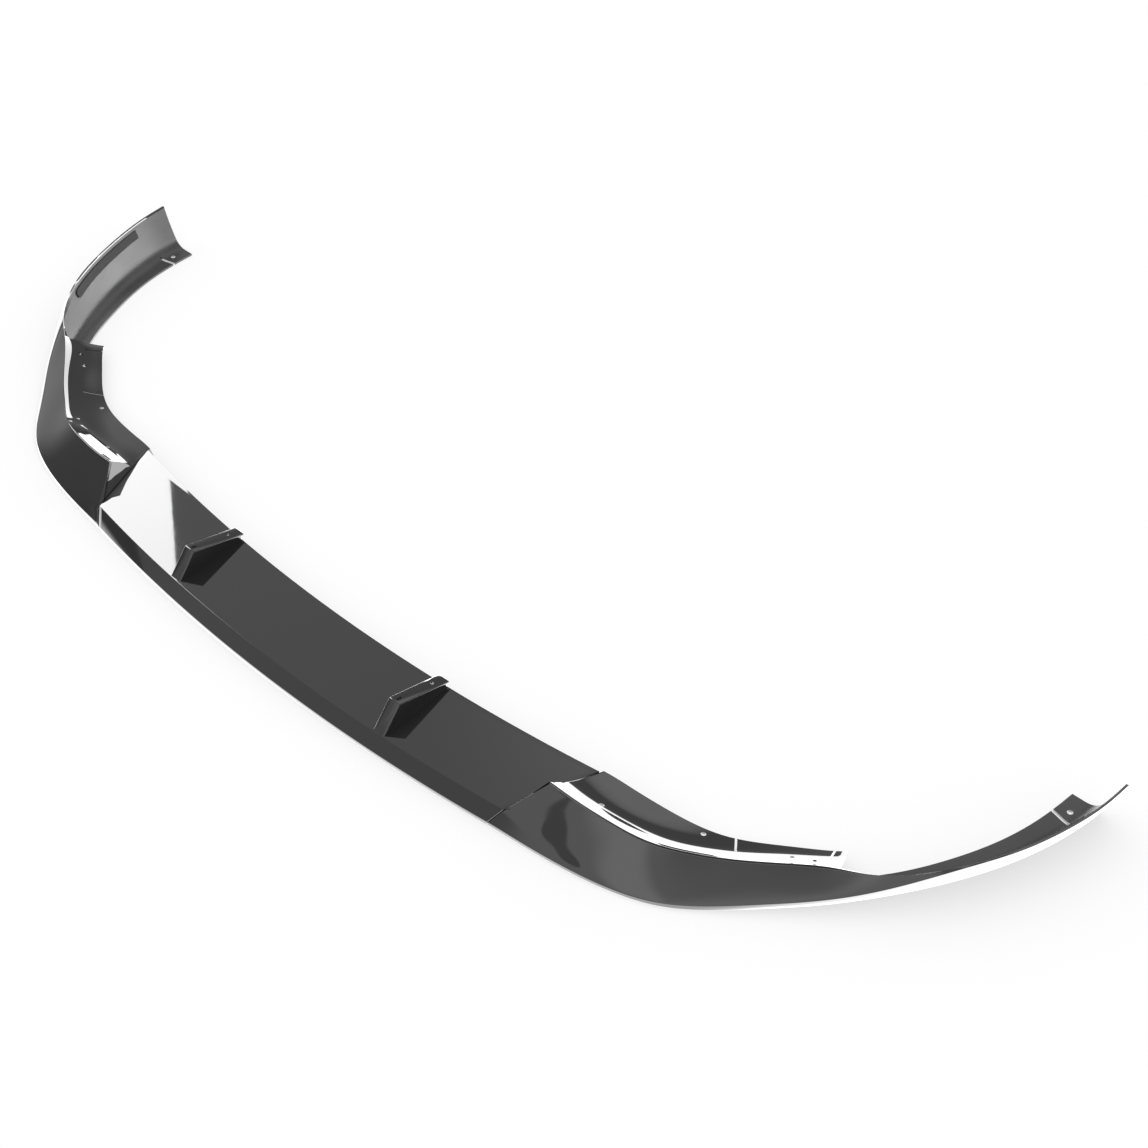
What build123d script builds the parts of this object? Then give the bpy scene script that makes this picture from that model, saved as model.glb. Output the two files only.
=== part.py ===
from build123d import *
import math
import os
from collections import namedtuple

# Front splitter lip for a saloon car: a centre blade and two corner mouldings, bolted together at two seams.
# Millimetres. X runs across the car, -Y is the front, Z is up, and the lip stands on Z = 0.

# Overall sizes
OVERALL_WIDTH = 1780.0
CORNER_WIDTH = 515.0
CORNER_LENGTH = 503.0
WALL = 3.0

# Front edge and foot flange, shared by the three mouldings
FRONT_RADIUS = 2750.0
LIP_HEIGHT = 5.0
CREASE_INSET = 12.6
CREASE_HEIGHT = 25.0
FLANGE_WIDTH = 34.0

# Centre blade
BLADE_DEPTH = 117.5
BLADE_REAR_HEIGHT = 33.0
BLADE_ROLL_DEPTH = 5.0
BLADE_ROLL_RISE = 0.45

# Seams: each seam face starts at the front foot, runs back at an angle and leans outwards
SEAM_ANGLE = 70.5
SEAM_LEAN = 19.5
SEAM_GAP = 0.8

# Fins on the blade
FIN_SPACING = 392.0
FIN_WIDTH = 18.5
FIN_FRONT_INSET = 14.0
FIN_TOP_INSET = 42.0
FIN_TOP_HEIGHT = 59.0
FIN_REAR_HEIGHT = 41.0
FIN_OVERHANG = 4.0
FIN_HOLE_RADIUS = 2.5
FIN_HOLE_FROM_REAR = 20.0
FIN_SLOT_LENGTH = 7.0
FIN_SLOT_WIDTH = 2.5
FIN_SLOT_FROM_FRONT = 7.0
FIN_POCKET_MARGIN = 1.0

# Corner moulding: crest land, scooped ledge and tail
CREST_LAND = 8.0
RIM_STEP = 4.0
RIM_SETBACK = 1.0
SKIN_BULGE = 2.0
SKIN_BULGE_PLACE = 0.25
LEDGE_SAG_PLACE = 0.42
TAIL_WALL = 3.5
WALL_BOW = 2.5
TAIL_BOW = 1.8

# Ledge slits and holes, and the tab at the rear of the tail
LEDGE_HOLE_RADIUS = 3.0
SLIT_WIDTH = 2.5
LEDGE_SLIT_LENGTH = 24.0
TAB_LENGTH = 38.0
TAB_SLIT_LENGTH = 25.0
TAB_SLIT_HEADING = -14.0
TAB_HOLE_RADIUS = 3.5
TAB_HOLE_FROM_REAR = 26.0
TAB_HOLE_FROM_FOOT = 22.0

# Grip strip on the inner face of each tail wall
STRIP_THICKNESS = 2.0
STRIP_WIDTH = 13.0
STRIP_LENGTH = 154.0
STRIP_TO_REAR = 62.0
STRIP_BELOW_TOP = 5.0
STRIP_GAP = 0.3

# Seam bolts and nuts
BOLT_RADIUS = 3.0
BOLT_CLEARANCE = 0.25
BOLT_HEAD_FLATS = 10.0
BOLT_HEAD_HEIGHT = 4.0
BOLT_LENGTH = 16.0
NUT_HEIGHT = 5.0
NUT_CLEARANCE = 0.1
BOLT_HEIGHT = 14.0
BOLT_FROM_FRONT = (48.0, 92.0)

# Places that follow from the sizes above
HALF_WIDTH = OVERALL_WIDTH / 2
SEAM_X = HALF_WIDTH - CORNER_WIDTH
SEAM_SWEEP = FRONT_RADIUS - math.sqrt(FRONT_RADIUS**2 - SEAM_X**2)
OVERALL_DEPTH = SEAM_SWEEP + CORNER_LENGTH
FRONT_Y = -OVERALL_DEPTH / 2
SEAM_Y = FRONT_Y + SEAM_SWEEP
REAR_Y = FRONT_Y + OVERALL_DEPTH
OVER_FLANGE = 2 * WALL
CUT_DEPTH = 20.0
REACH = 400.0

# Stations of the corner's hood, from the seam to the rear end of the ledge. Each has the place of its foot outside
# and behind the seam's foot, the heading of its section plane, the outer edge, the crest and the ledge's inner edge
# as (distance inwards from the foot, height), the rise of the crest land from its outer to its inner edge, and the
# sag of the ledge.
Station = namedtuple("Station", "out back heading edge crest inner rise sag")
HOOD = [
    Station(-24.0, -3.5, 68.0, (0.0, LIP_HEIGHT), (61.0, 61.5), (142.0, 31.5), -6.4, 11.0),
    Station(0.0, 0.0, 68.0, (0.0, LIP_HEIGHT), (61.0, 61.5), (142.0, 31.5), -6.4, 11.0),
    Station(55.0, 6.5, 74.0, (0.0, LIP_HEIGHT), (56.0, 58.0), (135.0, 30.0), -5.9, 10.5),
    Station(115.0, 15.5, 80.0, (0.0, LIP_HEIGHT), (53.0, 52.0), (129.0, 26.0), -5.5, 10.5),
    Station(170.0, 29.0, 86.0, (0.0, LIP_HEIGHT), (51.0, 47.0), (124.0, 20.0), -5.1, 6.5),
    Station(217.0, 49.0, 93.0, (0.0, 6.0), (53.0, 43.0), (116.0, 16.5), -5.3, 4.5),
    Station(259.0, 81.0, 100.0, (-1.0, 8.5), (45.0, 43.0), (102.0, 16.0), -5.9, 4.0),
    Station(305.0, 129.0, 106.0, (-6.0, 14.0), (31.0, 45.0), (84.0, 16.0), -6.7, 3.0),
    Station(347.0, 177.5, 111.0, (-12.5, 21.5), (15.0, 47.0), (68.0, 16.0), -7.5, 2.5),
]
SEAM_STATIONS = 2

# Stations of the tail behind the ledge: the share of its length, the heading, the outer and inner top edges, and the
# width of the foot flange.
TailStation = namedtuple("TailStation", "along heading edge crest flange")
TAIL = [
    TailStation(0.0, 111.0, (-12.5, 21.5), (15.0, 47.0), FLANGE_WIDTH),
    TailStation(0.12, 122.0, (-17.0, 30.0), (-3.0, 46.0), 29.0),
    TailStation(0.25, 134.0, (-21.5, 43.0), (-16.5, 49.5), 27.0),
    TailStation(0.38, 145.0, (-24.5, 53.0), (-21.0, 53.0), 28.0),
    TailStation(0.56, 158.0, (-26.0, 56.0), (-22.5, 56.0), 30.0),
    TailStation(0.73, 167.0, (-26.0, 59.0), (-22.5, 59.0), 33.0),
    TailStation(0.9, 174.0, (-26.0, 62.5), (-22.5, 62.5), 36.0),
    TailStation(1.0, 180.0, (-26.0, 65.0), (-22.5, 65.0), 36.0),
]

# Ledge holes and slits, as (distance outside the seam's foot, distance behind it). Slits also have the heading along
# which they run out from the ledge's inner edge.
LEDGE_HOLES = [(95.0, 89.0), (196.0, 148.5), (292.0, 187.0), (315.0, 198.0)]
LEDGE_SLITS = [(227.0, 168.5, -52.0), (316.0, 234.0, -69.0)]


def section_plane(x, y, heading):
    """Upright plane with its first axis running inwards along the heading and its second axis up."""
    turn = math.radians(heading)
    inward = (math.cos(turn), math.sin(turn), 0)
    return Plane(origin=(x, y, 0), x_dir=inward, z_dir=(inward[1], -inward[0], 0))


def between(start, end, share):
    return tuple(a + share * (b - a) for a, b in zip(start, end))


def inset_line(points, amount):
    """The open line moved to its right-hand side by the amount, with its corners mitred."""
    normals = []
    for start, end in zip(points, points[1:]):
        dx, dy = end[0] - start[0], end[1] - start[1]
        length = math.hypot(dx, dy)
        normals.append((dy / length, -dx / length))
    moved = [(points[0][0] + amount * normals[0][0], points[0][1] + amount * normals[0][1])]
    for point, first, second in zip(points[1:], normals, normals[1:]):
        scale = amount / (1 + first[0] * second[0] + first[1] * second[1])
        moved.append((point[0] + scale * (first[0] + second[0]), point[1] + scale * (first[1] + second[1])))
    moved.append((points[-1][0] + amount * normals[-1][0], points[-1][1] + amount * normals[-1][1]))
    return moved


def outer_outline(skin):
    """Closed outline under a skin line that starts at the foot and ends at the free edge."""
    return [*skin, (skin[-1][0], 0)]


def inner_outline(skin):
    """Closed outline of the hollow under the skin, over the foot flange and out past the free edge."""
    inner = inset_line(skin, WALL)
    end = between(inner[-2], inner[-1], 1 + CUT_DEPTH / abs(inner[-1][0] - inner[-2][0]))
    floor = [(end[0], -CUT_DEPTH), (FLANGE_WIDTH, -CUT_DEPTH), (FLANGE_WIDTH, WALL)]
    return [*floor, (inner[0][0], WALL), *inner[1:-1], end]


def outline_face(plane, points):
    return plane * make_face(Polyline(*points, close=True))


def blade_skin():
    roll_start = BLADE_DEPTH - BLADE_ROLL_DEPTH
    return [
        (0, 0),
        (0, LIP_HEIGHT),
        (CREASE_INSET, CREASE_HEIGHT),
        (roll_start, BLADE_REAR_HEIGHT - BLADE_ROLL_RISE),
        (BLADE_DEPTH, BLADE_REAR_HEIGHT),
    ]


def hood_skin(station, index):
    """Skin line of the corner's hood: lip, outer skin, rim, crest land and scooped ledge."""
    crest, inner = station.crest, station.inner
    rim = (crest[0] - RIM_SETBACK, crest[1] - RIM_STEP)
    if index < SEAM_STATIONS:
        # At the seam the skin has the blade's crease, met at the slant of the section
        slant = math.radians(station.heading) - math.asin(SEAM_X / FRONT_RADIUS)
        middle = (CREASE_INSET / math.sin(slant), CREASE_HEIGHT)
    else:
        middle = between(station.edge, rim, SKIN_BULGE_PLACE)
        middle = (middle[0], middle[1] + SKIN_BULGE)
    land = (crest[0] + CREST_LAND, crest[1] + station.rise)
    scoop = between(land, inner, LEDGE_SAG_PLACE)
    scoop = (scoop[0], scoop[1] - station.sag)
    return [(0, 0), station.edge, middle, rim, crest, land, scoop, inner]


def hood_plane(station):
    return section_plane(SEAM_X + station.out, SEAM_Y + station.back, station.heading)


def tail_plane(station):
    """Section plane of the tail, whose foot bends from the ledge's end to the rear of the corner."""
    start = HOOD[-1]
    spread = CORNER_WIDTH + TAIL[-1].edge[0] - start.out
    across = spread * (1 - (1 - station.along) ** TAIL_BOW)
    back = station.along * (CORNER_LENGTH - start.back)
    return section_plane(SEAM_X + start.out + across, SEAM_Y + start.back + back, station.heading)


def tail_walls(station):
    """Outer and inner lines of the tail's wall, from the foot to the top."""
    lines = []
    for foot, top in (((0, 0), station.edge), ((TAIL_WALL, WALL), station.crest)):
        middle = between(foot, top, 1 / 2)
        lines.append([foot, (middle[0] - WALL_BOW, middle[1]), top])
    return lines


def tail_outline(station):
    outer, inner = tail_walls(station)
    return [(station.flange, 0), *outer, *reversed(inner), (station.flange, WALL)]


def seam_plane(shift):
    """The seam face of the +X side, moved by the shift along its normal, which points away from the centre."""
    turn, lean = math.radians(SEAM_ANGLE), math.radians(SEAM_LEAN)
    back = (math.cos(turn), math.sin(turn), 0)
    normal = (back[1] * math.cos(lean), -back[0] * math.cos(lean), -math.sin(lean))
    plane = Plane(origin=(SEAM_X, SEAM_Y, LIP_HEIGHT), x_dir=back, z_dir=normal)
    return plane.offset(shift)


def seam_slab(start, end):
    """Slab between two planes parallel to the seam face, wide enough to cut every section."""
    return seam_plane(start) * Box(2 * REACH, 2 * REACH, end - start, align=(Align.CENTER, Align.CENTER, Align.MIN))


def both_sides(solid):
    return [solid, mirror(solid, about=Plane.YZ)]


def bolt_places():
    """Centres of the bolts on the seam face, as points of its own plane."""
    rise = (BOLT_HEIGHT - LIP_HEIGHT) / math.cos(math.radians(SEAM_LEAN))
    return [(distance, rise) for distance in BOLT_FROM_FRONT]


def bolt_holes():
    holes = []
    for x, y in bolt_places():
        hole = Pos(x, y, 0) * Cylinder(BOLT_RADIUS + BOLT_CLEARANCE, 4 * WALL + SEAM_GAP)
        holes.append(seam_plane(0) * hole)
    return holes


def revolved(points):
    """Body made by turning a section about the axis of the front edge, out past both seams."""
    axis = Axis((0, FRONT_Y + FRONT_RADIUS, 0), (0, 0, 1))
    turn = math.degrees(math.asin((SEAM_X + BLADE_DEPTH) / FRONT_RADIUS))
    face = outline_face(section_plane(0, FRONT_Y, 90), points)
    return revolve(face, axis, 2 * turn).rotate(axis, -turn)


def fin(width, wall):
    """Wedge of a fin on its centre line, or the hollow inside it when a wall is given."""
    rear = BLADE_DEPTH + FIN_OVERHANG
    base = CREASE_HEIGHT - WALL
    slope = (FIN_TOP_HEIGHT - CREASE_HEIGHT) / (FIN_TOP_INSET - FIN_FRONT_INSET)
    front = [(FIN_FRONT_INSET - (CREASE_HEIGHT - base) / slope, base), (FIN_TOP_INSET, FIN_TOP_HEIGHT)]
    top = [*front, (rear, FIN_REAR_HEIGHT)]
    if wall:
        bottom = base - FIN_POCKET_MARGIN
        top = inset_line(top, wall)
        end = BLADE_DEPTH - wall
        rear_point = between(top[1], top[2], (end - top[1][0]) / (top[2][0] - top[1][0]))
        front_point = between(top[0], top[1], (bottom - top[0][1]) / (top[1][1] - top[0][1]))
        outline = [front_point, top[1], rear_point, (end, bottom)]
    else:
        under = FIN_REAR_HEIGHT - WALL
        outline = [*top, (rear, under), (BLADE_DEPTH, under), (BLADE_DEPTH, base)]
    face = outline_face(section_plane(0, 0, 90), outline)
    return extrude(face, width / 2, both=True)


def fin_place():
    """Place of the +X fin, with its front on the curve of the front edge."""
    x = FIN_SPACING / 2
    return Pos(x, FRONT_Y + FRONT_RADIUS - math.sqrt(FRONT_RADIUS**2 - x**2), 0)


def fin_top_point(distance):
    """Point of the fin's top face at a distance behind the front edge."""
    share = (distance - FIN_TOP_INSET) / (BLADE_DEPTH + FIN_OVERHANG - FIN_TOP_INSET)
    return (0, distance, FIN_TOP_HEIGHT + share * (FIN_REAR_HEIGHT - FIN_TOP_HEIGHT))


def make_blade():
    filled = revolved(outer_outline(blade_skin()))
    hollow = revolved(inner_outline(blade_skin()))
    half_gap = SEAM_GAP / 2
    sheet = filled - hollow
    ends = []
    for bulkhead in both_sides(seam_slab(-half_gap - WALL, -half_gap)):
        ends.append(filled & bulkhead)
    blade = sheet + ends
    blade -= both_sides(seam_slab(-half_gap, 2 * REACH))
    wedge = fin_place() * fin(FIN_WIDTH, 0)
    pocket = fin_place() * fin(FIN_WIDTH - 2 * WALL, WALL)
    hole_at = fin_top_point(BLADE_DEPTH + FIN_OVERHANG - FIN_HOLE_FROM_REAR)
    slot_at = fin_top_point(FIN_TOP_INSET + FIN_SLOT_FROM_FRONT)
    hole = fin_place() * Pos(*hole_at) * Cylinder(FIN_HOLE_RADIUS, CUT_DEPTH)
    slot = fin_place() * Pos(*slot_at) * Box(FIN_SLOT_WIDTH, FIN_SLOT_LENGTH, CUT_DEPTH)
    blade += both_sides(wedge)
    for cut in (pocket, hole, slot):
        blade -= both_sides(cut)
    for hole in bolt_holes():
        blade -= both_sides(hole)
    return blade


def make_corner():
    """The +X corner moulding, from its seam face to the tip of its tail."""
    filled = loft([outline_face(hood_plane(s), outer_outline(hood_skin(s, i))) for i, s in enumerate(HOOD)])
    hollow = loft([outline_face(hood_plane(s), inner_outline(hood_skin(s, i))) for i, s in enumerate(HOOD)])
    tail = loft([outline_face(tail_plane(s), tail_outline(s)) for s in TAIL])
    half_gap = SEAM_GAP / 2
    corner = (filled - hollow) + (filled & seam_slab(half_gap, half_gap + WALL)) + tail
    corner -= seam_slab(-2 * REACH, half_gap)
    upwards = (Align.CENTER, Align.CENTER, Align.MIN)
    for x, y in LEDGE_HOLES:
        drill = Cylinder(LEDGE_HOLE_RADIUS, REACH, align=upwards)
        corner -= Pos(SEAM_X + x, SEAM_Y + y, OVER_FLANGE) * drill
    for x, y, heading in LEDGE_SLITS:
        slit = Box(2 * LEDGE_SLIT_LENGTH, SLIT_WIDTH, REACH, align=upwards)
        corner -= Pos(SEAM_X + x, SEAM_Y + y, OVER_FLANGE) * Rot(0, 0, heading) * slit
    foot_x = HALF_WIDTH + TAIL[-1].edge[0]
    slit = Rot(0, 0, TAB_SLIT_HEADING) * Box(2 * TAB_SLIT_LENGTH, SLIT_WIDTH, 4 * WALL)
    corner -= Pos(foot_x - TAIL[-1].flange, REAR_Y - TAB_LENGTH, 0) * slit
    hole_at = Pos(foot_x - TAB_HOLE_FROM_FOOT, REAR_Y - TAB_HOLE_FROM_REAR, 0)
    corner -= hole_at * Cylinder(TAB_HOLE_RADIUS, 4 * WALL)
    for hole in bolt_holes():
        corner -= hole
    return corner


def strip_outline(station):
    """Section of the grip strip, a little off the inner face of the tail's wall."""
    wall = tail_walls(station)[1]
    upper = wall[1:]
    length = math.dist(*upper)
    line = [between(upper[1], upper[0], (STRIP_BELOW_TOP + part) / length) for part in (STRIP_WIDTH, 0)]
    back = inset_line(line, STRIP_GAP)
    front = inset_line(line, STRIP_GAP + STRIP_THICKNESS)
    return [*back, *reversed(front)]


def make_strip():
    whole = loft([outline_face(tail_plane(s), strip_outline(s)) for s in TAIL[2:]])
    middle = REAR_Y - STRIP_TO_REAR - STRIP_LENGTH / 2
    return whole & (Pos(HALF_WIDTH, middle, 0) * Box(REACH, STRIP_LENGTH, REACH))


def hexagon(height):
    flats = RegularPolygon(BOLT_HEAD_FLATS / 2, 6, major_radius=False)
    return extrude(flats, height)


def make_bolt():
    """Bolt pointing along +Z, with its head under the plane that it bears on."""
    return Pos(0, 0, -BOLT_HEAD_HEIGHT) * hexagon(BOLT_HEAD_HEIGHT) + Cylinder(
        BOLT_RADIUS, BOLT_LENGTH, align=(Align.CENTER, Align.CENTER, Align.MIN)
    )


def make_nut():
    return hexagon(NUT_HEIGHT) - Cylinder(BOLT_RADIUS + NUT_CLEARANCE, 4 * NUT_HEIGHT)


def seam_fixings():
    """Bolts with their heads inside the blade's end and nuts inside the corner's end."""
    head_face = seam_plane(-SEAM_GAP / 2 - WALL)
    nut_face = seam_plane(SEAM_GAP / 2 + WALL)
    bolts = Compound([head_face * Pos(x, y, 0) * make_bolt() for x, y in bolt_places()])
    nuts = Compound([nut_face * Pos(x, y, 0) * make_nut() for x, y in bolt_places()])
    return bolts, nuts


def main():
    os.makedirs("parts", exist_ok=True)
    bolts, nuts = seam_fixings()
    nodes = {"centre_blade": make_blade()}
    handed = {"corner": make_corner(), "grip_strip": make_strip(), "seam_bolts": bolts, "seam_nuts": nuts}
    for name, shape in handed.items():
        nodes["left_" + name] = shape
        nodes["right_" + name] = mirror(shape, about=Plane.YZ)
    for name, shape in nodes.items():
        export_step(shape, f"parts/{name}.step")


main()
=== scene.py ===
import math
from collections import namedtuple
import bmesh
import bpy
import numpy as np
from mathutils import Matrix

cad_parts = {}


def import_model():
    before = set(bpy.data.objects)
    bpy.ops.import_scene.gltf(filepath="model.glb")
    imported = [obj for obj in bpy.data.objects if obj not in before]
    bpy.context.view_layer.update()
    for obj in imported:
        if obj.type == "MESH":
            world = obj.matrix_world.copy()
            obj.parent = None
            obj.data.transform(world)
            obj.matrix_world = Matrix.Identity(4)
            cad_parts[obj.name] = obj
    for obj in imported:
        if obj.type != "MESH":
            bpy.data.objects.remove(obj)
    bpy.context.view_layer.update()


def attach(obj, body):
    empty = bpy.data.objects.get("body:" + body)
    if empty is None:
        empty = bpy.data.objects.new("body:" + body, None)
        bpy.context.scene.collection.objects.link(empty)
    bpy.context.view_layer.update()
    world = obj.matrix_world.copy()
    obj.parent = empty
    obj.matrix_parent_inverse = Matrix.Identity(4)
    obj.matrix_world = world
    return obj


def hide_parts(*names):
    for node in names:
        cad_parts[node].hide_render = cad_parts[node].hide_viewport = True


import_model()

# Front splitter lip. Sizes in millimetres, turned into metres when the meshes are made.
# X runs across the car, -Y is the front, Z is up, and the lip stands on Z = 0.
METRE = 1000.0

OVERALL_WIDTH = 1780.0
CORNER_WIDTH = 515.0
CORNER_LENGTH = 503.0
WALL = 3.0
FRONT_RADIUS = 2750.0
LIP_HEIGHT = 5.0
CREASE_INSET = 12.6
CREASE_HEIGHT = 25.0
FLANGE_WIDTH = 34.0
BLADE_DEPTH = 117.5
BLADE_REAR_HEIGHT = 33.0
BLADE_ROLL_DEPTH = 5.0
BLADE_ROLL_RISE = 0.45
SEAM_ANGLE = 70.5
SEAM_LEAN = 19.5
SEAM_GAP = 0.8
FIN_SPACING = 392.0
FIN_WIDTH = 18.5
FIN_FRONT_INSET = 14.0
FIN_TOP_INSET = 42.0
FIN_TOP_HEIGHT = 59.0
FIN_REAR_HEIGHT = 41.0
FIN_OVERHANG = 4.0
FIN_HOLE_RADIUS = 2.5
FIN_HOLE_FROM_REAR = 20.0
FIN_SLOT_LENGTH = 7.0
FIN_SLOT_WIDTH = 2.5
FIN_SLOT_FROM_FRONT = 7.0
FIN_EDGE = 2.0
CREST_LAND = 8.0
RIM_STEP = 5.0
RIM_SETBACK = -1.5
SKIN_BULGE = 2.0
SKIN_BULGE_PLACE = 0.25
LEDGE_SAG_PLACE = 0.42
TAIL_WALL = 3.5
WALL_BOW = 2.5
TAIL_BOW = 1.8
TAIL_SKIN_PLACE = 0.3
TAIL_RIM_PLACE = 0.6
TAIL_TOP_PLACE = 0.85
FLANGE_CURL = 2.5
FLANGE_CURL_LENGTH = 170.0
FOOT_FILLET = 14.0
FOOT_FILLET_RUN = 40.0
LEDGE_HOLE_RADIUS = 3.0
SLIT_WIDTH = 2.5
LEDGE_SLIT_LENGTH = 24.0
TAB_LENGTH = 38.0
TAB_SLIT_LENGTH = 25.0
TAB_SLIT_WIDTH = 4.0
TAB_SLIT_HEADING = -14.0
TAB_HOLE_RADIUS = 3.5
TAB_HOLE_FROM_REAR = 26.0
TAB_HOLE_FROM_FOOT = 22.0
STRIP_THICKNESS = 2.0
STRIP_WIDTH = 13.0
STRIP_LENGTH = 154.0
STRIP_TO_REAR = 62.0
STRIP_BELOW_TOP = 5.0
STRIP_GAP = 0.3
STRIP_END_RADIUS = 6.0
STRIP_RIDGE = 0.35
STRIP_PITCH = 3.2
BOLT_RADIUS = 3.0
BOLT_CLEARANCE = 0.25
BOLT_HEIGHT = 14.0
BOLT_FROM_FRONT = (48.0, 92.0)

# Setbacks of the rounded edges along their two sides
FOOT_EDGE = (1.2, 1.0)
LIP_EDGE = (0.8, 1.2)
TAIL_LIP_EDGE = 1.0
RIM_EDGE = (0.6, 0.5)
CREST_EDGE = (1.2, 1.6)
LAND_EDGE = (2.0, 3.0)
BLADE_FOOT_EDGE = 1.0
BLADE_LIP_EDGE = 0.8
BLADE_CREASE_EDGE = 0.12
BLADE_INNER_EDGE = 0.8
BLADE_LIFT_EDGE = 2.0

HALF_WIDTH = OVERALL_WIDTH / 2
SEAM_X = HALF_WIDTH - CORNER_WIDTH
SEAM_SWEEP = FRONT_RADIUS - math.sqrt(FRONT_RADIUS**2 - SEAM_X**2)
OVERALL_DEPTH = SEAM_SWEEP + CORNER_LENGTH
FRONT_Y = -OVERALL_DEPTH / 2
SEAM_Y = FRONT_Y + SEAM_SWEEP
REAR_Y = FRONT_Y + OVERALL_DEPTH
SEAM_LIP = np.array([SEAM_X, SEAM_Y, LIP_HEIGHT])
BLADE_ROLL_START = BLADE_DEPTH - BLADE_ROLL_DEPTH
FIN_REAR = BLADE_DEPTH + FIN_OVERHANG
FIN_SLOPE = (FIN_TOP_HEIGHT - CREASE_HEIGHT) / (FIN_TOP_INSET - FIN_FRONT_INSET)

# Stations of the corner from the seam to the ledge's rear end: the foot's place outside and behind
# the seam's foot, the section's heading, the outer edge, crest and ledge edge as (distance inwards,
# height), the rise of the crest land, the sag of the ledge, and how far the skin is rounded between
# the outer edge and the rim (1 is fully).
HoodStation = namedtuple("HoodStation", "out back heading edge crest ledge rise sag rounding")
HOOD = [HoodStation(*values) for values in (
    (-24.0, -3.5, 68.0, (0.0, 5.0), (61.0, 61.5), (142.0, 31.5), -6.4, 11.0, 0.12),
    (0.0, 0.0, 68.0, (0.0, 5.0), (61.0, 61.5), (142.0, 31.5), -6.4, 11.0, 0.12),
    (55.0, 6.5, 74.0, (0.0, 5.0), (56.0, 58.0), (135.0, 30.0), -5.9, 10.5, 0.6),
    (115.0, 15.5, 80.0, (0.0, 5.0), (53.0, 52.0), (129.0, 26.0), -5.5, 10.5, 0.92),
    (170.0, 29.0, 86.0, (0.0, 5.0), (51.0, 47.0), (124.0, 20.0), -5.1, 6.5, 0.95),
    (217.0, 49.0, 93.0, (0.0, 6.0), (53.0, 43.0), (116.0, 16.5), -5.3, 4.5, 0.95),
    (259.0, 81.0, 100.0, (-1.0, 8.5), (45.0, 43.0), (102.0, 16.0), -5.9, 4.0, 0.95),
    (305.0, 129.0, 106.0, (-6.0, 14.0), (31.0, 45.0), (84.0, 16.0), -6.7, 3.0, 0.95),
    (347.0, 177.5, 111.0, (-12.5, 21.5), (15.0, 47.0), (68.0, 16.0), -7.5, 2.5, 0.95),
)]

# Number of stations at the seam, where the skin follows the blade's crease
SEAM_STATIONS = 2

# Stations of the tail: share of its length, heading, outer and inner top edges, flange width, and
# how much of the crest land, the rim and the skin's bulge is there.
TailStation = namedtuple("TailStation", "along heading edge crest flange fold")
TAIL = [TailStation(*values) for values in (
    (0.12, 122.0, (-17.0, 30.0), (-3.0, 46.0), 29.0, 0.22),
    (0.25, 134.0, (-21.5, 43.0), (-16.5, 49.5), 27.0, 0.06),
    (0.38, 145.0, (-24.5, 53.0), (-21.0, 53.0), 28.0, 0.0),
    (0.56, 158.0, (-26.0, 56.0), (-22.5, 56.0), 30.0, 0.0),
    (0.73, 167.0, (-26.0, 59.0), (-22.5, 59.0), 33.0, 0.0),
    (0.9, 174.0, (-26.0, 62.5), (-22.5, 62.5), 36.0, 0.0),
    (1.0, 180.0, (-26.0, 65.0), (-22.5, 65.0), 36.0, 0.0),
)]

# Share of the tail's length where the crest land has run out, and the rise of a full land
FOLD_END = 0.38
TAIL_LAND_RISE = -8.5

# Holes of the ledge, and its slits with their headings, outside and behind the seam's foot
LEDGE_HOLES = [(95.0, 89.0), (196.0, 148.5), (292.0, 187.0), (315.0, 198.0)]
LEDGE_SLITS = [(227.0, 168.5, -52.0), (316.0, 234.0, -69.0)]

# Finishes of the mouldings' faces: outside and inside
OUTSIDE, INSIDE = 0, 1


def between(start, end, share):
    return tuple(a + share * (b - a) for a, b in zip(start, end))


def spline(knots, values, at):
    """Natural cubic spline through the values at the knots."""
    knots = np.asarray(knots, float)
    values = np.asarray(values, float)
    flat = values.reshape(len(knots), -1)
    gap = np.diff(knots)
    count = len(knots)
    matrix = np.eye(count)
    right = np.zeros_like(flat)
    for i in range(1, count - 1):
        matrix[i, i - 1:i + 2] = gap[i - 1], 2 * (gap[i - 1] + gap[i]), gap[i]
        right[i] = 6 * ((flat[i + 1] - flat[i]) / gap[i] - (flat[i] - flat[i - 1]) / gap[i - 1])
    bend = np.linalg.solve(matrix, right)
    at = np.asarray(at, float)
    k = np.clip(np.searchsorted(knots, at, side="right") - 1, 0, count - 2)
    width = gap[k][:, None]
    before = (at - knots[k])[:, None]
    after = width - before
    curve = (bend[k] * after**3 + bend[k + 1] * before**3) / (6 * width)
    curve += (flat[k] / width - bend[k] * width / 6) * after
    curve += (flat[k + 1] / width - bend[k + 1] * width / 6) * before
    return curve.reshape((len(at),) + values.shape[1:])


def smooth_step(x):
    x = np.clip(x, 0.0, 1.0)
    return x * x * (3 - 2 * x)


def lengths(points):
    return np.linalg.norm(np.diff(points, axis=1), axis=2)


def inset(points, amount):
    """Lines moved to their right-hand side by the amount, with mitred corners."""
    step = np.diff(points, axis=1)
    normal = np.stack([step[..., 1], -step[..., 0]], axis=2)
    normal = normal / np.linalg.norm(step, axis=2, keepdims=True)
    first = np.concatenate([normal[:, :1], normal], axis=1)
    second = np.concatenate([normal, normal[:, -1:]], axis=1)
    return points + amount * (first + second) / (1 + (first * second).sum(axis=2, keepdims=True))


def toward(point, other, distance):
    """Points at the distances from the first points towards the others."""
    step = other - point
    return point + step * (distance / np.linalg.norm(step, axis=1))[:, None]


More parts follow.
